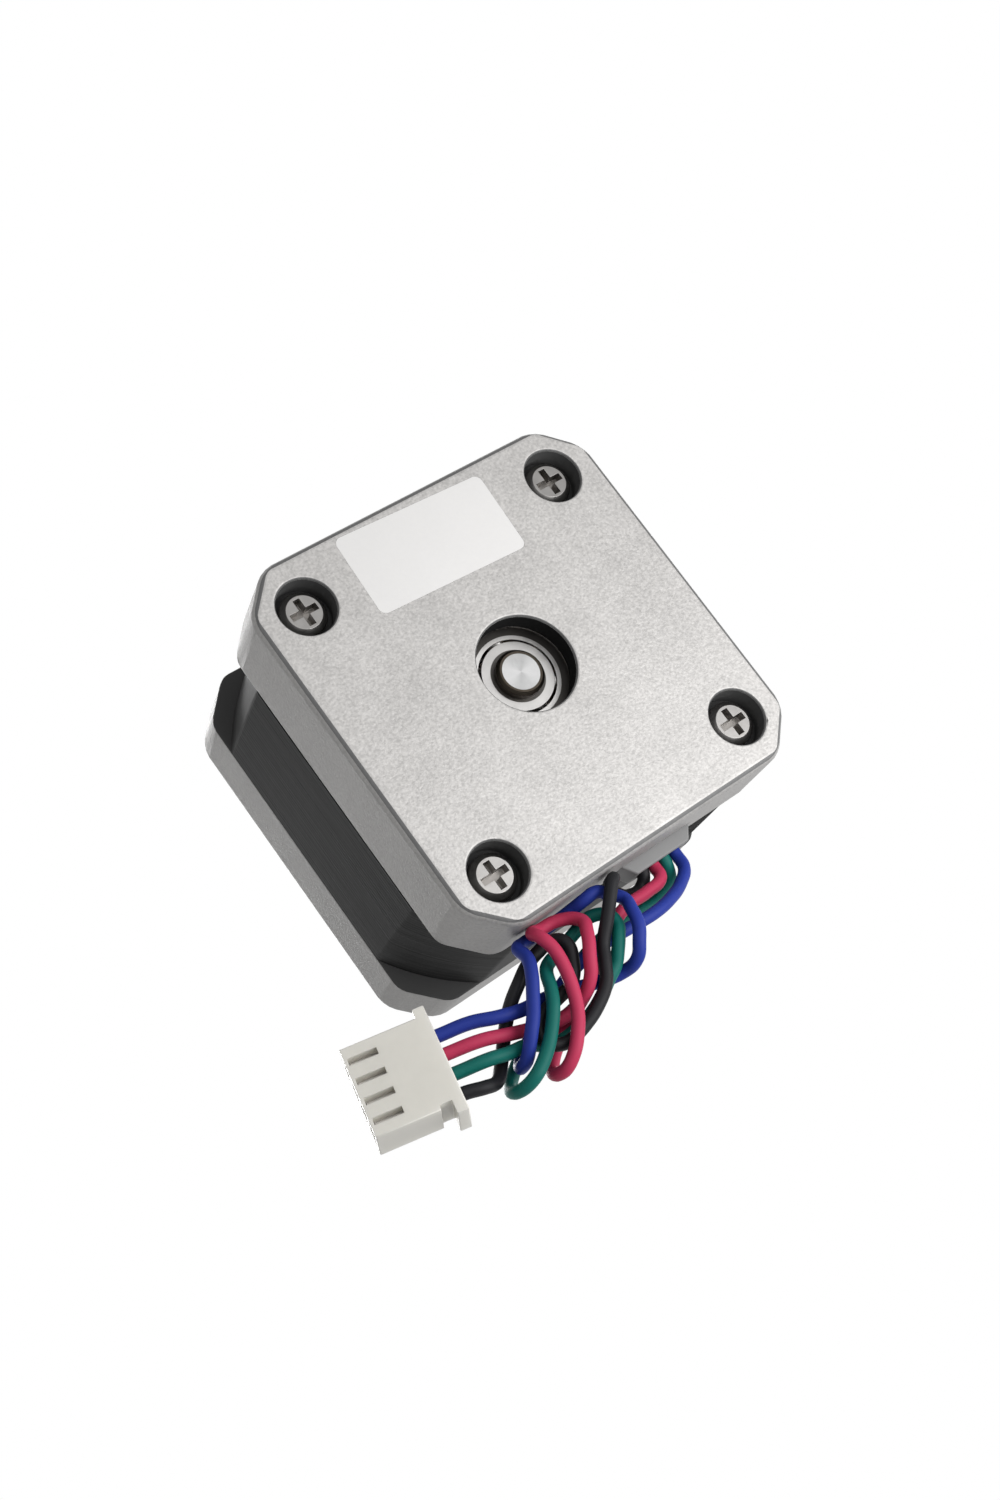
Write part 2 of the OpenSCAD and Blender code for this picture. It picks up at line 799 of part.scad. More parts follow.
// spring washer between the rear lip and the rear bearing, pads on a thin ring
module wave_washer() {
    low = rear_z + rear_lip;
    mid = washer_h / 2;
    color("gray")
        translate([0, 0, low])
            difference() {
                ring(0, washer_h, bearing_d - 4 * seat_gap, outer_ring_d, small_n);
                for (turn = [0, 120, 240])
                    rotate([0, 0, turn]) {
                        translate([0, -bearing_d / 4, -over])
                            cube([bearing_d, bearing_d / 2, mid - washer_t / 2 + over]);
                        rotate([0, 0, 60])
                            translate([0, -bearing_d / 4, mid + washer_t / 2])
                                cube([bearing_d, bearing_d / 2, mid + over]);
                    }
            }
}

// places its children in the housing's own frame: +X out of the mating end
module in_housing() {
    translate([connector_x, connector_y, connector_z])
        rotate([housing_roll, -housing_tilt, housing_turn])
            children();
}

// one child at each contact's place across the housing
module at_contacts() {
    for (i = [0 : contact_n - 1])
        translate([0, (i - (contact_n - 1) / 2) * contact_pitch, 0])
            children();
}

module connector_housing() {
    front = housing_len / 2;
    color("whitesmoke")
        in_housing()
            difference() {
                union() {
                    translate([-front, -housing_w / 2, 0])
                        cube([housing_len, housing_w, housing_t]);
                    translate([-front, -rim_w / 2, 0])
                        cube([rim_len, rim_w, housing_t]);
                }
                at_contacts() {
                    translate([-front - over, -cavity_w / 2, contact_z - cavity_h / 2])
                        cube([housing_len + 2 * over, cavity_w, cavity_h]);
                    translate([front - window_edge - window_len, -window_w / 2, -over])
                        cube([window_len, window_w, contact_z]);
                }
                translate([-front + rim_len, -housing_w / 2 - over, -over])
                    cube([notch_len, notch_deep + over, housing_t + 2 * over]);
            }
}

// one contact: a hollow box and the barrel that grips the lead
module terminal() {
    front = housing_len / 2 - terminal_front;
    translate([front - terminal_len, -terminal_w / 2, contact_z - terminal_h / 2])
        difference() {
            cube([terminal_len, terminal_w, terminal_h]);
            translate([barrel_len, terminal_t, terminal_t])
                cube([terminal_len, terminal_w - 2 * terminal_t, terminal_h - 2 * terminal_t]);
        }
}

module connector_terminals() {
    color("lightgray")
        in_housing()
            at_contacts()
                terminal();
}

function unit(v) = v / norm(v);

// direction of a route at its point i, the mean of the two steps that meet there
function route_dir(route, i) =
    i == 0 ? unit(route[1] - route[0])
    : i == len(route) - 1 ? unit(route[i] - route[i - 1])
    : unit(unit(route[i + 1] - route[i]) + unit(route[i] - route[i - 1]));

// side vector of the ring at point i, carried along from the first ring
function route_side(route, i) =
    i == 0 ? unit(cross(route_dir(route, 0), [0, 0, 1]))
    : let(last = route_side(route, i - 1), way = route_dir(route, i))
        unit(last - (last * way) * way);

// corners of the ring at point i
function route_ring(route, i) =
    let(side = route_side(route, i), up = cross(route_dir(route, i), side))
    [for (k = [0 : wire_sides - 1])
        let(turn = k * 360 / wire_sides)
        route[i] + wire_d / 2 * (cos(turn) * side + sin(turn) * up)];

function route_points(route) =
    [for (i = [0 : len(route) - 1]) for (p = route_ring(route, i)) p];

// two triangles between neighbouring rings
function wall_faces(i, k) =
    let(low = i * wire_sides, high = low + wire_sides, next = (k + 1) % wire_sides)
    [[low + k, high + k, high + next], [low + k, high + next, low + next]];

function tube_faces(n) =
    let(top = (n - 1) * wire_sides)
    concat([[for (k = [0 : wire_sides - 1]) k]],
        [for (i = [0 : n - 2]) for (k = [0 : wire_sides - 1]) for (f = wall_faces(i, k)) f],
        [[for (k = [0 : wire_sides - 1]) top + wire_sides - 1 - k]]);

// one lead along its route
module wire(route) {
    translate([0, side_y - drawn_side_y, floor_z])
        polyhedron(points = route_points(route), faces = tube_faces(len(route)));
}

module red_wire() {
    color("crimson")
        wire(red_route);
}

module blue_wire() {
    color("royalblue")
        wire(blue_route);
}

module green_wire() {
    color("teal")
        wire(green_route);
}

module black_wire() {
    color("black")
        wire(black_route);
}

front_flange();
rear_cover();
cover_screws();
label();
lead_outlet();
stator_core();
front_insulator();
rear_insulator();
phase_a_coils();
phase_b_coils();
shaft();
front_rotor_cup();
rear_rotor_cup();
rotor_magnet();
front_spacer();
rear_spacer();
front_outer_ring();
front_inner_ring();
front_shields();
front_balls();
front_cage();
rear_outer_ring();
rear_inner_ring();
rear_shields();
rear_balls();
rear_cage();
wave_washer();
connector_housing();
connector_terminals();
red_wire();
blue_wire();
green_wire();
black_wire();
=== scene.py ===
"""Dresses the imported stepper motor: leads, edges, finishes, light and camera."""

import json
import logging
import math
from dataclasses import dataclass, field
from enum import Enum

import bmesh
import bpy
from mathutils import Matrix, Vector

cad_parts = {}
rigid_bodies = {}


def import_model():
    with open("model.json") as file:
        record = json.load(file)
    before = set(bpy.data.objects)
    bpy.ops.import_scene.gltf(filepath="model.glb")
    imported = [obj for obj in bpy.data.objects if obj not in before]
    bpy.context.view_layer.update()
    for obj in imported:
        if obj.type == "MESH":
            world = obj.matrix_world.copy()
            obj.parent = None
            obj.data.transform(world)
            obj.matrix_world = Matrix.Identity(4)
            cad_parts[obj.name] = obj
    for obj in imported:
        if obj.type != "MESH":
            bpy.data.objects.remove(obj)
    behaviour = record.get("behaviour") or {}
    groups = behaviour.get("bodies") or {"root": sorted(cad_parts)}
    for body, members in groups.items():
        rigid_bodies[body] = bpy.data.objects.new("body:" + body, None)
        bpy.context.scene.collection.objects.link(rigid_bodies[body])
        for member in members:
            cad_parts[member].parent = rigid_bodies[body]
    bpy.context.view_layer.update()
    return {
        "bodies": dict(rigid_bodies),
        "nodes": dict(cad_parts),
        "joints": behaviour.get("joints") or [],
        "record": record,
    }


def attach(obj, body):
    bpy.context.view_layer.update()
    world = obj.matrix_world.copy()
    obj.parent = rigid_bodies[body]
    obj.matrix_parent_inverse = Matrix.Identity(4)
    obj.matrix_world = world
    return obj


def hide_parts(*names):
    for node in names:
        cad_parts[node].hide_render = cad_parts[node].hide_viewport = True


MM = 0.001
LOG = logging.getLogger("stepper")
HOUSING = "housing"
CONNECTOR = "connector_housing"
FLANGE = "front_flange"
FLANGE_FINISH = "flange"
STACK = "stator_core"

# Height of the floor that the motor lies on, in millimetres from the front face.
FLOOR_Z = -31.0

# Points that each lead follows from the outlet to the connector, in millimetres:
# x, y and the height over the floor, as in the part's source.
RED_ROUTE = [
    (-2, -20, 7.5), (-2, -22.6, 7.5), (-1.5, -23.8, 6.9), (1.2, -24.3, 6.1),
    (4.4, -24.4, 5.6), (7.2, -25.5, 5.8), (11.5, -28.2, 5.8), (15, -29.8, 5.8),
    (18.2, -31.2, 5.5), (20.3, -32.5, 4.7), (21.3, -33.4, 3.4), (20.9, -33.7, 2),
    (19.7, -33, 1), (18.4, -31.8, 0.7), (17.1, -30.2, 0.7), (16.2, -28.4, 0.7),
    (15.5, -26.1, 0.7), (15.3, -24.2, 0.7), (15.5, -22.7, 1.1), (15.4, -21.8, 2.4),
    (14, -21.8, 3.6), (12.1, -22, 3.5), (10.6, -23.3, 2.2), (11.4, -24.7, 1.1),
    (12.7, -26.5, 0.7), (13.9, -28.4, 1.4), (15.6, -29.5, 3.1), (17.9, -29.6, 4),
    (20.2, -28.9, 3.8), (22.7, -28.2, 2.9), (25.4, -27.2, 2.7), (28.5, -26.4, 3.4),
    (31.8, -25.7, 4.3)]
BLUE_ROUTE = [
    (-4.8, -20, 7.5), (-4.8, -22.8, 7.5), (-4.4, -24.2, 7), (-2.6, -25.4, 6.2),
    (0.2, -26.2, 4.9), (2.9, -26.5, 4.1), (5.4, -26.4, 3.9), (8.2, -26.2, 4),
    (11.2, -26.2, 4.7), (14.4, -27, 5.7), (17.4, -28.2, 6), (20.2, -29.4, 5.7),
    (22.2, -30.3, 5), (23.5, -31.2, 3.7), (23.3, -31, 2.1), (22, -29.4, 0.9),
    (20.8, -28.1, 0.7), (19.6, -26.5, 0.7), (18.5, -25, 0.9), (17.5, -23.5, 1.8),
    (17.1, -22.2, 3.2), (15.6, -21.9, 4.7), (13.5, -21.9, 5.2), (11.5, -21.9, 4.8),
    (10, -21.9, 3.6), (9, -21.9, 2.3), (7.8, -21.9, 2), (6.5, -22.6, 2.7),
    (5.6, -23.8, 2.3), (6.1, -25.2, 1.3), (6.7, -26.7, 0.8), (7.6, -28, 0.9),
    (8.4, -29.2, 1.8), (9.6, -29.4, 3.7), (12.2, -28.7, 4.4), (15.4, -27.7, 4.3),
    (18.4, -27.2, 3.4), (20.6, -27, 2.7), (23, -26.3, 2.5), (25.2, -25.3, 3.1),
    (28, -24.6, 3.9), (31.3, -23.8, 4.8)]
GREEN_ROUTE = [
    (-3.4, -20, 7.5), (-3.4, -22.8, 7.6), (-3.2, -24.3, 8.5), (-1.2, -25.2, 9),
    (2.6, -25.2, 8.3), (7, -25.4, 7.4), (10.5, -26, 7.2), (14, -27.2, 7.4),
    (17.4, -28.4, 7.6), (20.6, -29.8, 7.3), (23.2, -31, 6.3), (24.9, -32, 4.9),
    (25.6, -32.6, 3.3), (25.1, -32.9, 1.7), (23.7, -32.5, 0.7), (21.9, -31.5, 0.7),
    (20.3, -30.2, 0.7), (18.8, -28.6, 0.7), (17.6, -27, 1.3), (16.6, -25.5, 2.2),
    (15.2, -24.8, 3.5), (13.2, -24.4, 4.3), (11, -23.8, 4.2), (9.1, -23.4, 3.6),
    (7.8, -24.2, 2.8), (7.7, -25.5, 2.3), (8.5, -26.5, 2), (9.4, -27.6, 2.2),
    (10.2, -28.5, 2.6), (11.5, -29.2, 2.8), (12.7, -30, 3.5), (14.2, -30.7, 4.1),
    (16.4, -31.2, 4.2), (19.5, -31.1, 3.9), (22, -29.9, 3), (24.2, -29.5, 2.6),
    (26, -29, 2.3), (29, -28.3, 3), (32.4, -27.5, 3.8)]
BLACK_ROUTE = [
    (-0.6, -20, 7.5), (-0.6, -22.4, 7.5), (0.2, -23.4, 8), (1.9, -23.5, 7.8),
    (3.4, -22.9, 6.8), (4.6, -22.1, 5.3), (5.1, -21.8, 3.5), (5.4, -21.8, 1.9),
    (6.2, -22, 0.8), (7.3, -23, 0.7), (8.8, -24.6, 1.1), (10.4, -26.3, 1.7),
    (11.5, -27.9, 1.6), (12.6, -29.4, 1.6), (14.2, -30.5, 1.8), (16.5, -31.4, 2),
    (19, -31.8, 2.1), (20.6, -30.7, 2.1), (20.3, -29.1, 2.2), (18.8, -28.3, 2.3),
    (17, -28, 2.3), (15.2, -27.6, 2.2), (13.8, -26, 2.1), (13.2, -24.2, 2.3),
    (13.9, -23.3, 3.2), (15.4, -23.4, 3.7), (17, -23.8, 3.5), (19, -24.8, 3.2),
    (20.8, -26, 3.7), (22.2, -27.4, 4.4), (23.6, -28.9, 4.6), (25, -30.2, 4.2),
    (26.4, -31, 3.2), (27.9, -30.8, 2.4), (29.6, -30.2, 2.5), (32.9, -29.4, 3.3)]


class Side(Enum):
    """Whether a lamp shines from under the floor or from over it."""

    UNDER = "under"
    OVER = "over"


class Value:
    """A socket that Python arithmetic can be written on."""

    def __init__(self, kit: "Nodes", socket: bpy.types.NodeSocket) -> None:
        """Wraps one output socket.

        Args:
            kit: the node tree that new Math nodes go to.
            socket: an output socket.
        """
        self.kit = kit
        self.socket = socket

    def _math(self, operation: str, first: object, second: object = 0.0) -> "Value":
        """Adds a Math node.

        Args:
            operation: the node's operation.
            first: its first value.
            second: its second value, where it has one.

        Returns:
            The node's result.
        """
        node = self.kit.add("ShaderNodeMath", {"operation": operation}, {0: first, 1: second})
        return Value(self.kit, node.outputs[0])

    def __add__(self, other: object) -> "Value":
        """Sum."""
        return self._math("ADD", self, other)

    def __radd__(self, other: object) -> "Value":
        """Sum with a number on the left."""
        return self._math("ADD", other, self)

    def __sub__(self, other: object) -> "Value":
        """Difference."""
        return self._math("SUBTRACT", self, other)

    def __rsub__(self, other: object) -> "Value":
        """Difference with a number on the left."""
        return self._math("SUBTRACT", other, self)

    def __mul__(self, other: object) -> "Value":
        """Product."""
        return self._math("MULTIPLY", self, other)

    def __rmul__(self, other: object) -> "Value":
        """Product with a number on the left."""
        return self._math("MULTIPLY", other, self)

    def __truediv__(self, other: object) -> "Value":
        """Quotient."""
        return self._math("DIVIDE", self, other)

    def __gt__(self, other: object) -> "Value":
        """One where it is greater, else zero."""
        return self._math("GREATER_THAN", self, other)

    def __lt__(self, other: object) -> "Value":
        """One where it is less, else zero."""
        return self._math("LESS_THAN", self, other)

    def most(self, other: object) -> "Value":
        """The greater of the two."""
        return self._math("MAXIMUM", self, other)

    def size(self) -> "Value":
        """The value without its sign."""
        return self._math("ABSOLUTE", self)

    def root(self) -> "Value":
        """Square root."""
        return self._math("SQRT", self)

    def wave(self, period: float) -> "Value":
        """A wave between zero and one.

        Args:
            period: how far apart its crests are, in millimetres of the value.

        Returns:
            The wave's height.
        """
        turns = self * (2 * math.pi / (period * MM))
        return 0.5 + 0.5 * self._math("SINE", turns)


class Nodes:
    """The node tree of a material or of the world."""

    def __init__(self, owner: object, output: str = "ShaderNodeOutputMaterial") -> None:
        """Empties the owner's tree but for an output node.

        Args:
            owner: a material or a world.
            output: the output node's type.
        """
        owner.use_nodes = True
        self.owner = owner
        self.tree = owner.node_tree
        self.tree.nodes.clear()
        self.output = self.add(output, {}, {})

    def add(self, kind: str, settings: dict, inputs: dict) -> bpy.types.Node:
        """Adds a node.

        Args:
            kind: the node's type.
            settings: properties set before its sockets; a ramp's stops are under "stops".
            inputs: numbers, colours, sockets or Values by socket name or index.

        Returns:
            The node.
        """
        node = self.tree.nodes.new(kind)
        for key, value in settings.items():
            if key == "stops":
                ramp = node.color_ramp
                while len(ramp.elements) < len(value):
                    ramp.elements.new(0.5)
                for element, (place, level) in zip(ramp.elements, value):
                    element.position = place
                    element.color = grey(level)
            else:
                setattr(node, key, value)
        for key, value in inputs.items():
            socket = node.inputs[key]
            if isinstance(value, Value):
                self.tree.links.new(value.socket, socket)
            elif isinstance(value, bpy.types.NodeSocket):
                self.tree.links.new(value, socket)
            else:
                socket.default_value = value
        return node

    def place(self) -> bpy.types.NodeSocket:
        """Object coordinates in metres."""
        return self.add("ShaderNodeTexCoord", {}, {}).outputs["Object"]

    def axes(self) -> tuple:
        """The three object coordinates as Values."""
        split = self.add("ShaderNodeSeparateXYZ", {}, {0: self.place()})
        return tuple(Value(self, split.outputs[axis]) for axis in range(3))

    def stretched(self, scale: tuple) -> bpy.types.NodeSocket:
        """Object coordinates times a scale for each axis.

        Args:
            scale: the three factors.

        Returns:
            The vector socket.
        """
        return self.add("ShaderNodeMapping", {}, {"Vector": self.place(), "Scale": scale}).outputs[0]

    def noise(self, scale: float, detail: float = 2.0, vector: object = None) -> Value:
        """Noise between zero and one.

        Args:
            scale: cycles for each metre.
            detail: octaves.
            vector: the coordinates, or None for the object's own.

        Returns:
            The noise value.
        """
        where = vector or self.place()
        node = self.add("ShaderNodeTexNoise", {}, {"Vector": where, "Scale": scale, "Detail": detail})
        return Value(self, node.outputs["Fac"])

    def ramp(self, value: Value, stops: list) -> Value:
        """Maps a value through grey stops.

        Args:
            value: the value.
            stops: places and greys.

        Returns:
            The mapped value.
        """
        node = self.add("ShaderNodeValToRGB", {"stops": stops}, {"Fac": value})
        return Value(self, node.outputs["Color"])

    def mix(self, factor: object, first: object, second: object) -> bpy.types.NodeSocket:
        """Mixes two colours.

        Args:
            factor: how much of the second.
            first: a colour.
            second: a colour.

        Returns:
            The colour socket.
        """
        factor_in, first_in, second_in, colour_out = 0, 6, 7, 2
        inputs = {factor_in: factor, first_in: first, second_in: second}
        return self.add("ShaderNodeMix", {"data_type": "RGBA"}, inputs).outputs[colour_out]

    def bump(self, height: Value, strength: float, depth: float) -> bpy.types.NodeSocket:
        """Normal from a height.

        Args:
            height: the height value.
            strength: the bump's strength.
            depth: the depth in millimetres that a height of one stands for.

        Returns:
            The normal socket.
        """
        inputs = {"Height": height, "Strength": strength, "Distance": depth * MM}
        return self.add("ShaderNodeBump", {}, inputs).outputs[0]

    def shades(self, tone: Value, level: float, shares: tuple, warm: float = 0.0) -> bpy.types.NodeSocket:
        """Mixes a dark and a light shade of one grey.

        Args:
            tone: how much of the light one.
            level: the grey's brightness.
            shares: the two shades as shares of the level.
            warm: how much the blue is held back.

        Returns:
            The colour socket.
        """
        low, high = (grey(level * share, warm) for share in shares)
        return self.mix(tone, low, high)

    def blended(self, factor: Value, first: bpy.types.Node, second: bpy.types.Node) -> bpy.types.Node:
        """Mixes two shaders.

        Args:
            factor: how much of the second.
            first: a shader node.
            second: a shader node.

        Returns:
            The Mix Shader node.
        """
        inputs = {0: factor, 1: first.outputs[0], 2: second.outputs[0]}
        return self.add("ShaderNodeMixShader", {}, inputs)

    def close(self, shader: bpy.types.Node) -> object:
        """Links a shader to the output.

        Args:
            shader: the last shader node.

        Returns:
            The material or world.
        """
        self.tree.links.new(shader.outputs[0], self.output.inputs[0])
        return self.owner

    def finish(self, inputs: dict, matte: Value = None) -> bpy.types.Material:
        """Closes the tree with a Principled shader.

        Args:
            inputs: values and links of the shader's sockets.
            matte: where it has no shine at all, or None.

        Returns:
            The material.
        """
        shader = self.add("ShaderNodeBsdfPrincipled", {}, inputs)
        if matte:
            plain = self.add("ShaderNodeBsdfPrincipled", {}, {
                "Base Color": inputs["Base Color"], "Roughness": 1.0, "Specular IOR Level": 0.0})
            shader = self.blended(matte, shader, plain)
        return self.close(shader)


def grey(level: float, warm: float = 0.0) -> tuple:
    """A nearly neutral colour.

    Args:
        level: its linear brightness.
        warm: how much the blue is held back.

    Returns:
        Red, green, blue and alpha.
    """
    return (level * (1 + warm), level, level * (1 - warm), 1.0)


def within(across: Value, along: Value, radius: float) -> Value:
    """Whether a place lies in a circle.

    Args:
        across: one coordinate from the circle's centre, in metres.
        along: the other one.
        radius: the circle's radius in millimetres.

    Returns:
        One inside, else zero.
    """
    return (across * across + along * along) < (radius * MM) ** 2


@dataclass(frozen=True)
class Cast:
    """Sandblasted die-cast aluminium, the sides darker than the face, with painted shade in the holes and
    a painted dark reflection along the face's edge.

    Attributes:
        level: brightness of the blasted face.
        face_shares: its darkest and lightest grain.
        roughness: how dull it is.
        grain: cycles of the blasted grain for each metre.
        pits: cycles of the coarser pits.
        clouds: cycles of the broad mottling.
        clouds_share: how much of the tone the mottling makes.
        side_level_share: brightness of the sides, as a share of the level.
        side_shares: their darkest and lightest grain.
        reflection_share: brightness of the painted dark reflection round the face, as a share of the
            sides' dark grain.
        bore_shade_level: brightness of the painted shade inside the centre hole.
        screw_shade_and_ledge_level: brightness of the painted shade inside the screw recesses, and of
            everything under dark_below, such as the flange's rear ledge.
        bore_r: radius of the centre hole.
        screw_hole_r: radius of a screw recess.
        hole_place: distance of the recesses from the two middle planes.
        hole_edge: how far past a hole's wall its painted shade reaches.
        rim_z: height over which a hole gets painted shade.
        face_z: height over which the face ends and the sides begin.
        reflection_z: height where the painted dark reflection round the face ends.
        dark_below: height under which everything is dark.
    """

    level: float = 0.53
    face_shares: tuple = (0.72, 1.14)
    roughness: float = 0.5
    grain: float = 3600.0
    pits: float = 1900.0
    clouds: float = 160.0
    clouds_share: float = 0.25
    side_level_share: float = 0.64
    side_shares: tuple = (0.82, 1.14)
    reflection_share: float = 0.5
    bore_shade_level: float = 0.018
    screw_shade_and_ledge_level: float = 0.085
    bore_r: float = 5.1
    screw_hole_r: float = 3.0
    hole_place: float = 15.5
    hole_edge: float = 0.12
    rim_z: float = -30.7
    face_z: float = -30.96
    reflection_z: float = -30.74
    dark_below: float = -99.0

    def skin(self, kit: Nodes, tone: Value, z: Value) -> bpy.types.NodeSocket:
        """Colour of the blasted face, the sides and the painted dark reflection between them.

        Args:
            kit: the material's nodes.
            tone: the grain between dark and light.
            z: height in the part's frame.

        Returns:
            The colour.
        """
        side_level = self.level * self.side_level_share
        blasted = kit.shades(tone, self.level, self.face_shares, 0.025)
        sides = kit.shades(tone, side_level, self.side_shares, 0.02)
        dark_reflection = grey(side_level * self.side_shares[0] * self.reflection_share)
        inward = z > self.face_z * MM
        # A thin band on the edge bevel just above the face gets a painted dark reflection.
        line = inward * (z < self.reflection_z * MM)
        return kit.mix(inward, blasted, kit.mix(line, sides, dark_reflection))

    def material(self, name: str) -> bpy.types.Material:
        """The finished material.

        Args:
            name: the material's name.

        Returns:
            The material.
        """
        kit = Nodes(bpy.data.materials.new(name))
        fine = kit.noise(self.grain, 3.0)
        mottled = (1 - self.clouds_share) * fine + self.clouds_share * kit.noise(self.clouds)
        tone = kit.ramp(mottled, [(0.3, 0.0), (0.7, 1.0)])
        x, y, z = kit.axes()
        side_x, side_y = x.size() - self.hole_place * MM, y.size() - self.hole_place * MM
        # The walls of the centre hole and of the screw recesses get painted shade and no shine.
        bore = within(x, y, self.bore_r + self.hole_edge)
        screw = within(side_x, side_y, self.screw_hole_r + self.hole_edge)
        holes = bore.most(screw) * (z > self.rim_z * MM)
        dark = holes.most(z < self.dark_below * MM)
        # Painted shade grey for the holes; the screw recesses' grey also colours everything under
        # dark_below.
        inside = kit.mix(bore, grey(self.screw_shade_and_ledge_level), grey(self.bore_shade_level))
        return kit.finish({
            "Base Color": kit.mix(dark, self.skin(kit, tone, z), inside),
            "Roughness": self.roughness + 0.2 * (fine - 0.5),
            "Metallic": 0.25, "Specular IOR Level": 0.3,
            "Normal": kit.bump(fine + 0.4 * kit.noise(self.pits), 0.7, 0.08)}, dark)


@dataclass(frozen=True)
class Stack:
    """Dark coated laminations, one thin line for each sheet.

    Attributes:
        level: brightness of the coating.
        shares: its darkest and lightest streak.
        sheet: thickness of one sheet.
        streaks: cycles of the streaks for each metre, along the three axes.
    """

    level: float = 0.024
    shares: tuple = (0.4, 1.9)
    sheet: float = 0.5
    streaks: tuple = (60.0, 60.0, 2600.0)

    def material(self, name: str) -> bpy.types.Material:
        """The finished material.

        Args:
            name: the material's name.

        Returns:
            The material.
        """
        kit = Nodes(bpy.data.materials.new(name))
        streak = kit.noise(1.0, 3.0, kit.stretched(self.streaks))
        sheets = kit.axes()[2].wave(self.sheet)
        tone = kit.ramp(streak, [(0.3, 0.0), (0.75, 1.0)])
        return kit.finish({
            "Base Color": kit.shades(tone, self.level, self.shares),
            "Roughness": 0.5 + 0.15 * streak, "Specular IOR Level": 0.06,
            "Normal": kit.bump(sheets * 0.4 + streak, 0.35, 0.06)})


@dataclass(frozen=True)
class Metal:
    """Bright or ground metal, with painted shade where a recess or a gap is.

    Attributes:
        level: brightness of the metal.
        shares: its darkest and lightest scratch.
        warm: how much the blue is held back.
        roughness: how dull it is.
        grain: cycles of the scratches for each metre.
        depth: depth of a scratch.
        metallic: one for bare metal, less for a dull plating.
        shade_above: height over which it gets painted shade.
        shade_within: radius round the shaft inside which it gets painted shade.
        shade_beyond: radius round the shaft outside which it gets painted shade.
        shade_share: brightness of the painted shade, as a share of the level.
    """

    level: float = 0.72
    shares: tuple = (0.85, 1.1)
    warm: float = 0.01
    roughness: float = 0.2
    grain: float = 900.0
    depth: float = 0.01
    metallic: float = 1.0
    shade_above: float = 99.0
    shade_within: float = 0.0
    shade_beyond: float = 99.0
    shade_share: float = 0.58

    def material(self, name: str) -> bpy.types.Material:
        """The finished material.

        Args:
            name: the material's name.

        Returns:
            The material.
        """
        kit = Nodes(bpy.data.materials.new(name))
        scratch = kit.noise(self.grain, 4.0)
        skin = kit.shades(scratch, self.level, self.shares, self.warm)
        x, y, z = kit.axes()
        # Painted shade in recesses and gaps: inside shade_within, outside shade_beyond and over
        # shade_above.
        beyond = 1 - within(x, y, self.shade_beyond)
        dark = within(x, y, self.shade_within).most(beyond).most(z > self.shade_above * MM)
        return kit.finish({
            "Base Color": kit.mix(dark, skin, grey(self.level * self.shade_share, 0.06)),
            "Roughness": self.roughness + 0.16 * (scratch - 0.5),
            "Metallic": self.metallic, "Normal": kit.bump(scratch, 0.3, self.depth)})


@dataclass(frozen=True)
class Turned:
    """Turned shaft with fine rings bumped into its faced ends, and a painted reflection that fans out by
    angle round the axis.

    Attributes:
        level: brightness of the steel.
        shares: the darkest and lightest of the painted reflection.
        groove: distance between two rings.
        slant: how far the painted reflection is turned round the axis.
        rim_r: radius where the rear end's dark rim begins.
        rim_level: brightness of that rim.
        rear_z: height under which the rim is.
    """

    level: float = 0.47
    shares: tuple = (0.72, 1.2)
    groove: float = 0.12
    slant: float = 1.6
    rim_r: float = 1.95
    rim_level: float = 0.05
    rear_z: float = -28.0

    def material(self, name: str) -> bpy.types.Material:
        """The finished material.

        Args:
            name: the material's name.

        Returns:
            The material.
        """
        kit = Nodes(bpy.data.materials.new(name))
        x, y, z = kit.axes()
        square = x * x + y * y
        radius = square.root()
        height = radius.wave(self.groove)
        never_zero = 1e-9
        # Painted reflection: lighter and darker by angle round the axis, the fan of light that turned
        # steel shows.
        across = (x * x - y * y + self.slant * x * y) / (square + never_zero)
        painted_reflection = kit.ramp(0.5 + 0.3 * across, [(0.2, 0.0), (0.8, 1.0)])
        tone = 0.7 * painted_reflection + 0.3 * kit.noise(2500.0)
        skin = kit.shades(tone, self.level, self.shares)
        rim = (radius > self.rim_r * MM) * (z < self.rear_z * MM)
        return kit.finish({
            "Base Color": kit.mix(rim, skin, grey(self.rim_level, 0.2)),
            "Roughness": 0.3 + 0.08 * height, "Metallic": 1.0,
            "Normal": kit.bump(height, 0.5, 0.01)})


@dataclass(frozen=True)
class Plastic:
    """Moulded plastic or film.

    Attributes:
        colour: red, green and blue.
        roughness: how dull it is.
        mottle: how far the colour varies.
        grain: cycles of the fine grain for each metre.
        clouds: cycles of the broad mottling.
        depth: depth of the grain.
        specular: strength of its shine.
        subsurface: how much light goes into it.
        glow_depth: how deep that light goes.
    """

    colour: tuple
    roughness: float = 0.4
    mottle: float = 0.08
    grain: float = 1400.0
    clouds: float = 220.0
    depth: float = 0.02
    specular: float = 0.5
    subsurface: float = 0.0
    glow_depth: float = 2.0

    def material(self, name: str) -> bpy.types.Material:
        """The finished material.

        Args:
            name: the material's name.

        Returns:
            The material.
        """
        kit = Nodes(bpy.data.materials.new(name))
        grain = kit.noise(self.grain, 3.0)
        low = tuple(level * (1 - self.mottle) for level in self.colour) + (1.0,)
        high = tuple(min(1.0, level * (1 + self.mottle)) for level in self.colour) + (1.0,)
        return kit.finish({
            "Base Color": kit.mix(0.5 * grain + 0.5 * kit.noise(self.clouds), low, high),
            "Roughness": self.roughness + 0.12 * (grain - 0.5), "Specular IOR Level": self.specular,
            "Subsurface Weight": self.subsurface, "Subsurface Scale": self.glow_depth * MM,
            "Subsurface Radius": (1.0, 1.0, 1.0),
            "Normal": kit.bump(grain, 0.3, self.depth)})


@dataclass(frozen=True)
class Vinyl(Plastic):
    """Dull soft insulation of a lead."""

    roughness: float = 0.48
    mottle: float = 0.12
    grain: float = 1800.0
    depth: float = 0.01
    specular: float = 0.16


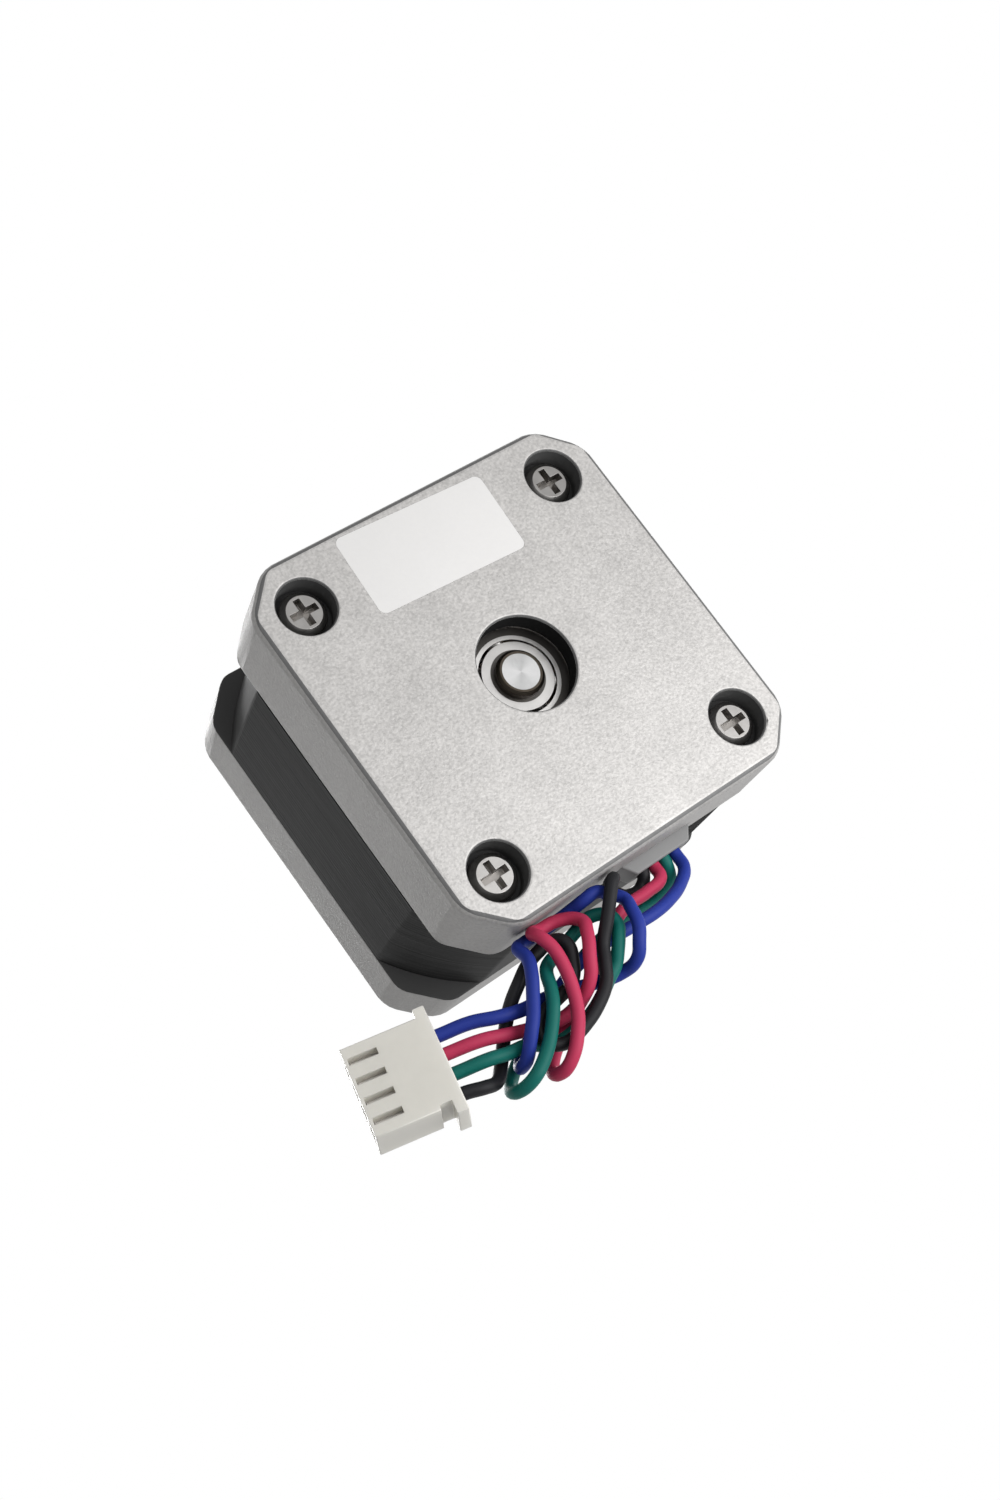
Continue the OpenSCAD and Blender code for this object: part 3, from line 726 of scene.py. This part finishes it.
def finish_table() -> dict:
    """The materials by record slot, and one of the flange's own.

    Returns:
        Slot name to material.
    """
    table = {
        "cast": Cast(),
        FLANGE_FINISH: Cast(side_level_share=0.58, rim_z=99.0, face_z=-99.0, dark_below=-6.7),
        "stack": Stack(),
        "shaft": Turned(),
        "rotor_steel": Metal(level=0.3, warm=0.0, roughness=0.4),
        "magnet": Metal(level=0.12, warm=0.0, roughness=0.5),
        # Painted shade in the screws' cross recesses, round the shaft in the bearing and round the
        # shield's rim.
        "plated_steel": Metal(level=0.3, warm=0.03, roughness=0.34, grain=1200.0, depth=0.008,
                              shade_above=-29.3, shade_share=0.7),
        "bearing_steel": Metal(level=0.52, warm=0.02, roughness=0.33, grain=700.0,
                               shade_within=2.85, shade_share=0.14),
        "shield": Metal(level=0.62, warm=0.02, roughness=0.4, grain=600.0,
                        shade_beyond=4.5, shade_share=0.12),
        "cage": Metal(level=0.45, warm=0.35, roughness=0.35),
        "copper": Metal(level=0.42, warm=0.5, roughness=0.35, grain=3000.0, depth=0.03),
        "contact": Metal(level=0.85, warm=0.04, roughness=0.4, metallic=0.25),
        "label": Plastic((0.8, 0.79, 0.78), roughness=0.42, mottle=0.04, grain=2600.0, depth=0.006),
        "outlet": Plastic((0.2, 0.2, 0.2), roughness=0.55),
        "insulator": Plastic((0.75, 0.72, 0.62), roughness=0.5),
        "connector": Plastic((0.74, 0.72, 0.66), mottle=0.06, grain=900.0, depth=0.03,
                             specular=0.4, subsurface=0.35),
        "red_pvc": Vinyl((0.45, 0.035, 0.09)),
        "blue_pvc": Vinyl((0.016, 0.034, 0.25)),
        "green_pvc": Vinyl((0.004, 0.12, 0.1)),
        "black_pvc": Vinyl((0.01, 0.01, 0.012))}
    return {slot: finish.material(slot) for slot, finish in table.items()}


@dataclass(frozen=True)
class Lamp:
    """One square lamp that looks at the motor.

    Attributes:
        side: whether it is under or over the floor.
        place: its middle.
        width: its width.
        watts: its power.
        target: the place that it looks at.
    """

    side: Side
    place: tuple
    width: float
    watts: float
    target: tuple = (0.0, -10.0, -15.0)

    def hang(self, number: int) -> None:
        """Puts the lamp in the scene.

        Args:
            number: its number, for its name.
        """
        data = bpy.data.lights.new(f"lamp_{self.side.value}_{number}", "AREA")
        data.size = self.width * MM
        data.energy = self.watts
        lamp = bpy.data.objects.new(data.name, data)
        where = Vector(self.place) * MM
        turn = (Vector(self.target) * MM - where).to_track_quat("-Z", "Y")
        lamp.matrix_world = Matrix.Translation(where) @ turn.to_matrix().to_4x4()
        bpy.context.scene.collection.objects.link(lamp)


@dataclass
class Studio:
    """Camera, lamps, floor and background.

    Attributes:
        camera_place: where the camera stands.
        right: direction of the picture's right side.
        up: direction of the picture's top.
        lens: focal length.
        sensor: width of the sensor.
        nearest: the least distance that the camera sees.
        floor_half: half the floor's width.
        floor_gap: how far the floor lies under the motor.
        floor_level: brightness of the floor.
        floor_full_r: radius up to which the floor shows in full.
        floor_faded_r: radius past which it doesn't show.
        sky: brightness of the plain light from all round.
        lamps: the lamps, two under the floor and two over it.
    """

    camera_place: tuple = (90.81, -37.10, -190.84)
    right: tuple = (-0.761799, -0.583783, -0.280822)
    up: tuple = (-0.462910, 0.793808, -0.394440)
    lens: float = 46.52
    sensor: float = 36.0
    nearest: float = 5.0
    floor_half: float = 1500.0
    floor_gap: float = 0.02
    floor_level: float = 0.86
    floor_full_r: float = 70.0
    floor_faded_r: float = 200.0
    sky: float = 0.36
    lamps: tuple = (
        Lamp(Side.UNDER, (-42, -60, -106), 105, 0.125), Lamp(Side.UNDER, (40, 40, -420), 200, 0.22),
        Lamp(Side.OVER, (-60, 120, 420), 240, 1.3), Lamp(Side.OVER, (-260, 120, 240), 200, 0.5))

    def camera(self) -> None:
        """Places the camera where the photograph was taken from."""
        data = bpy.data.cameras.new("camera")
        data.sensor_width = self.sensor
        data.lens = self.lens
        data.clip_start = self.nearest * MM
        rig = bpy.data.objects.new("camera", data)
        right = Vector(self.right).normalized()
        up = (Vector(self.up) - right * right.dot(Vector(self.up))).normalized()
        turn = Matrix((right, up, right.cross(up))).transposed()
        rig.matrix_world = Matrix.Translation(Vector(self.camera_place) * MM) @ turn.to_4x4()
        bpy.context.scene.collection.objects.link(rig)
        bpy.context.scene.camera = rig

    def background(self) -> None:
        """Makes the world white where it is seen or mirrored, and a dim grey light elsewhere."""
        world = bpy.data.worlds.new("studio")
        bpy.context.scene.world = world
        kit = Nodes(world, "ShaderNodeOutputWorld")
        path = kit.add("ShaderNodeLightPath", {}, {})
        seen = Value(kit, path.outputs["Is Camera Ray"])
        through = Value(kit, path.outputs["Is Transmission Ray"])
        mirrored = Value(kit, path.outputs["Is Glossy Ray"])
        shown = seen.most(through).most(mirrored)
        strength = self.sky + (1 - self.sky) * shown
        kit.close(kit.add("ShaderNodeBackground", {}, {"Color": grey(1.0), "Strength": strength}))

    def floor_finish(self) -> bpy.types.Material:
        """The floor's matte grey, clear from below and far from the motor.

        Returns:
            The material.
        """
        kit = Nodes(bpy.data.materials.new("floor"))
        path = kit.add("ShaderNodeLightPath", {}, {})
        face = kit.add("ShaderNodeNewGeometry", {}, {})
        x, y, _ = kit.axes()
        fade = [(self.floor_full_r * MM, 1.0), (self.floor_faded_r * MM, 0.0)]
        near = kit.ramp((x * x + y * y).root(), fade)
        above = Value(kit, path.outputs["Is Camera Ray"]) * (1 - Value(kit, face.outputs["Backfacing"]))
        clear = kit.add("ShaderNodeBsdfTransparent", {}, {})
        matte = kit.add("ShaderNodeBsdfDiffuse", {}, {"Color": grey(self.floor_level)})
        return kit.close(kit.blended(above * near, clear, matte))

    def floor(self) -> None:
        """Lays a pale floor that only a camera above it can see."""
        mesh = bpy.data.meshes.new("floor")
        shape = bmesh.new()
        under = Matrix.Translation((0.0, 0.0, (FLOOR_Z - self.floor_gap) * MM))
        bmesh.ops.create_grid(shape, x_segments=1, y_segments=1, size=self.floor_half * MM, matrix=under)
        shape.to_mesh(mesh)
        shape.free()
        mesh.materials.append(self.floor_finish())
        plate = bpy.data.objects.new("floor", mesh)
        bpy.context.scene.collection.objects.link(plate)

    def build(self) -> None:
        """Sets up the whole studio."""
        self.camera()
        for number, lamp in enumerate(self.lamps):
            lamp.hang(number)
        self.background()
        self.floor()
        LOG.info("studio ready")


@dataclass
class Leads:
    """The four leads, each one smooth curve through its route.

    Attributes:
        diameter: thickness over the insulation.
        pull: length of a curve handle as a share of the stretch beside it.
        inset: how far the curve stays from the least x, y and z of its points.
        routes: each colour's route.
    """

    diameter: float = 1.3
    pull: float = 0.38
    inset: float = 0.02
    routes: dict = field(default_factory=lambda: {
        "red": RED_ROUTE, "blue": BLUE_ROUTE, "green": GREEN_ROUTE, "black": BLACK_ROUTE})

    def lay(self, spline: bpy.types.Spline, places: list) -> None:
        """Rounds the route, its handles kept inside the box of its points.

        Args:
            spline: the lead's spline.
            places: the route in metres.
        """
        low = [min(place[axis] for place in places) + self.inset * MM for axis in range(3)]
        high = [max(place[axis] for place in places) for axis in range(3)]
        for number, point in enumerate(spline.bezier_points):
            here = Vector([max(places[number][axis], low[axis]) for axis in range(3)])
            back = places[number] - places[number - 1] if number else places[1] - places[0]
            ahead = places[number + 1] - places[number] if number + 1 < len(places) else back
            along = (back.normalized() + ahead.normalized()).normalized()
            point.handle_left_type = point.handle_right_type = "FREE"
            point.co = here
            for reach, handle in ((-back.length, "handle_left"), (ahead.length, "handle_right")):
                end = here + along * reach * self.pull
                setattr(point, handle, [min(max(end[axis], low[axis]), high[axis]) for axis in range(3)])

    def tube(self, name: str, places: list) -> bpy.types.Object:
        """Makes one lead.

        Args:
            name: the piece's name.
            places: the route in metres.

        Returns:
            The lead's curve.
        """
        data = bpy.data.curves.new(name, "CURVE")
        data.dimensions = "3D"
        data.bevel_depth = self.diameter / 2 * MM
        data.bevel_resolution = 5
        data.resolution_u = 6
        data.use_fill_caps = True
        spline = data.splines.new("BEZIER")
        spline.bezier_points.add(len(places) - 1)
        self.lay(spline, places)
        lead = bpy.data.objects.new(name, data)
        bpy.context.scene.collection.objects.link(lead)
        return lead

    def build(self, finishes: dict) -> None:
        """Makes and dresses every lead, in the place of its CAD wire.

        Args:
            finishes: materials by slot.
        """
        for colour, route in self.routes.items():
            places = [Vector((x, y, FLOOR_Z + height)) * MM for x, y, height in route]
            lead = self.tube(f"{colour}_lead", places)
            lead.data.materials.append(finishes[f"{colour}_pvc"])
            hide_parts(f"{colour}_wire")
            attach(lead, HOUSING)


@dataclass
class Softened:
    """CAD nodes whose sharp edges get the small radius of the real piece.

    Attributes:
        widths: bevel of each node's ordinary edges.
        shortest: length under which a node's edges stay sharp.
        corner: bevel of the covers' upright corner edges, the widest of all.
        corner_r: distance from the shaft axis that only the covers' corners pass.
        corner_lean: how far sideways an upright corner edge may lean.
        corner_height: the least height of such an edge.
        side: distance from a middle plane past which a vertex is on one of the four sides.
        stack_r: distance from the shaft axis that only the stack's outer edges pass.
        same: distance under which two places count as one.
        merged: distance under which vertices are merged.
        flat_angle: bend in degrees under which two faces become one.
        inner_angle: bend under which an edge inside a rounded corner goes.
        upright_angle: bend over which a corner edge is rounded.
        stack_angle: bend over which an outer edge of the stack is rounded.
        crease_angle: bend over which shading breaks.
        sharp_angle: bend over which an ordinary edge is rounded.
    """

    widths: dict = field(default_factory=lambda: {
        "rear_cover": 0.28, FLANGE: 0.2, CONNECTOR: 0.1, "lead_outlet": 0.2,
        "cover_screws": 0.08, STACK: 0.3})
    shortest: dict = field(default_factory=lambda: {CONNECTOR: 3.0})
    corner: float = 1.2
    corner_r: float = 26.2
    corner_lean: float = 0.8
    corner_height: float = 0.3
    side: float = 20.45
    stack_r: float = 23.5
    same: float = 0.02
    merged: float = 0.002
    flat_angle: float = 0.6
    inner_angle: float = 12.0
    upright_angle: float = 15.0
    stack_angle: float = 20.0
    crease_angle: float = 38.0
    sharp_angle: float = 40.0

    def stands(self, edge: bmesh.types.BMEdge) -> bool:
        """Whether an edge stands upright at a corner of a cover.

        Args:
            edge: the edge.

        Returns:
            True at a corner.
        """
        first, last = (vert.co for vert in edge.verts)
        lean = math.hypot(first.x - last.x, first.y - last.y)
        nearest = min(math.hypot(first.x, first.y), math.hypot(last.x, last.y))
        upright = lean < self.corner_lean * MM and abs(first.z - last.z) > self.corner_height * MM
        return upright and nearest > self.corner_r * MM

    def outside_stack(self, edge: bmesh.types.BMEdge) -> bool:
        """Whether an edge stands upright on the outside of the lamination stack.

        Args:
            edge: the edge.

        Returns:
            True outside.
        """
        first, last = (vert.co for vert in edge.verts)
        upright = abs(first.x - last.x) + abs(first.y - last.y) < self.same * MM
        return upright and math.hypot(first.x, first.y) > self.stack_r * MM

    def square_corners(self, shape: bmesh.types.BMesh) -> None:
        """Makes each corner of a cover one face between its two upright edges.

        Args:
            shape: the cover.
        """
        inner = [edge for edge in shape.edges
                 if self.stands(edge) and edge.calc_face_angle(0.0) < math.radians(self.inner_angle)]
        bmesh.ops.dissolve_edges(shape, edges=inner, use_verts=True, use_face_split=False)
        outer = [vert for vert in shape.verts
                 if math.hypot(vert.co.x, vert.co.y) > self.corner_r * MM]
        ends = [vert for vert in outer if max(abs(vert.co.x), abs(vert.co.y)) > self.side * MM]
        places = {}
        for vert in outer:
            if vert not in ends:
                level = [end for end in ends if abs(end.co.z - vert.co.z) < self.same * MM]
                places[vert] = min(level, key=lambda end: (end.co - vert.co).length)
        bmesh.ops.weld_verts(shape, targetmap=places)

    def weight(self, edge: bmesh.types.BMEdge, node: str, cast: bool) -> float:
        """An edge's share of the widest bevel.

        Args:
            edge: the edge.
            node: its node, whose inner edges stay sharp where it is the stack.
            cast: whether the node is one of the two covers.

        Returns:
            The share, zero where the edge stays sharp.
        """
        width, length = self.widths[node], edge.calc_length()
        angle = math.degrees(edge.calc_face_angle(0.0))
        narrowest = min((face.calc_area() / length for face in edge.link_faces), default=0.0)
        if narrowest < 2 * width * MM or length < self.shortest.get(node, 0.0) * MM:
            return 0.0
        if cast and self.stands(edge) and angle > self.upright_angle:
            return 1.0
        if node == STACK:
            rounded = angle > self.stack_angle and self.outside_stack(edge)
        else:
            rounded = angle > self.sharp_angle
        return width / self.corner if rounded else 0.0

    def mesh(self, node: str, source: bpy.types.Mesh, cast: bool) -> bpy.types.Mesh:
        """Copies a node's mesh, merges it and weighs its edges.

        Args:
            node: the node's name.
            source: its mesh.
            cast: whether it is one of the two covers.

        Returns:
            The new mesh.
        """
        shape = bmesh.new()
        shape.from_mesh(source)
        bmesh.ops.remove_doubles(shape, verts=shape.verts, dist=self.merged * MM)
        bmesh.ops.dissolve_limit(shape, angle_limit=math.radians(self.flat_angle), verts=shape.verts,
                                 edges=shape.edges, delimit=set())
        if cast:
            self.square_corners(shape)
        share = shape.edges.layers.float.new("bevel_weight_edge")
        for edge in shape.edges:
            edge[share] = self.weight(edge, node, cast)
        mesh = bpy.data.meshes.new(node + "_dressed")
        shape.to_mesh(mesh)
        shape.free()
        for polygon in mesh.polygons:
            polygon.use_smooth = True
        mesh.set_sharp_from_angle(angle=math.radians(self.crease_angle))
        return mesh

    def round_edges(self, piece: bpy.types.Object, clamp: bool) -> None:
        """Adds the bevel and the even shading.

        Args:
            piece: the new piece.
            clamp: whether a bevel stops where it would meet another.
        """
        bevel = piece.modifiers.new("edges", "BEVEL")
        bevel.width = self.corner * MM
        bevel.segments = 3
        bevel.limit_method = "WEIGHT"
        bevel.use_clamp_overlap = clamp
        even = piece.modifiers.new("even", "WEIGHTED_NORMAL")
        even.keep_sharp = True

    def build(self, frame: dict, finishes: dict) -> None:
        """Puts a softened copy in the place of each node.

        Args:
            frame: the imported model.
            finishes: materials by slot.
        """
        slots = {part["node"]: part["material_slot"] for part in frame["record"]["subparts"]}
        for node in self.widths:
            cast = slots[node] == "cast"
            mesh = self.mesh(node, frame["nodes"][node].data, cast)
            mesh.materials.append(finishes[FLANGE_FINISH if node == FLANGE else slots[node]])
            piece = bpy.data.objects.new(node + "_dressed", mesh)
            bpy.context.scene.collection.objects.link(piece)
            self.round_edges(piece, clamp=not cast and node != STACK)
            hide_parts(node)
            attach(piece, HOUSING)
            LOG.info("%s dressed, %d faces", node, len(mesh.polygons))


def dress_nodes(frame: dict, finishes: dict) -> None:
    """Gives every CAD node its finish.

    Args:
        frame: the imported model.
        finishes: materials by slot.
    """
    for part in frame["record"]["subparts"]:
        mesh = frame["nodes"][part["node"]].data
        mesh.materials.clear()
        mesh.materials.append(finishes[part["material_slot"]])
        LOG.info("%s finished as %s", part["node"], part["material_slot"])


def main() -> None:
    """Builds the scene in order."""
    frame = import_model()
    bpy.context.scene.view_settings.view_transform = "Standard"
    Studio().build()
    finishes = finish_table()
    Leads().build(finishes)
    dress_nodes(frame, finishes)
    Softened().build(frame, finishes)


if __name__ == "__main__":
    logging.basicConfig(level=logging.INFO)
    main()
